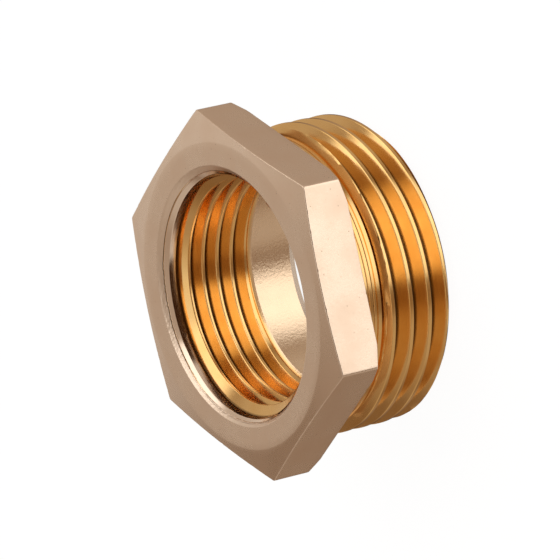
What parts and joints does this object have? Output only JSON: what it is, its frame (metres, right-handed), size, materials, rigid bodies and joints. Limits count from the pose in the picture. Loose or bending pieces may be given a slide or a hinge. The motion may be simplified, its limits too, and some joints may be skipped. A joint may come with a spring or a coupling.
{
  "type": "hex bushing",
  "caption": "One-piece hexagonal reducing bush: an outer pipe thread on the spigot, a smaller inner pipe thread in the head, and a clear way through.",
  "frame": {"origin": "middle of the end face of the spigot, on the axis of both threads", "axes": "+Z along the common axis of the threads, out of the head's mouth; two opposite flats of the hexagon face +X and -X, and two of its corners point along +Y and -Y"},
  "size_m": [0.0344, 0.0398, 0.0172],
  "materials": {
    "brass": "satin on the hexagon, bright where it is turned"
  },
  "bodies": {
    "root": {"bushing_body": "brass"}
  },
  "joints": []
}
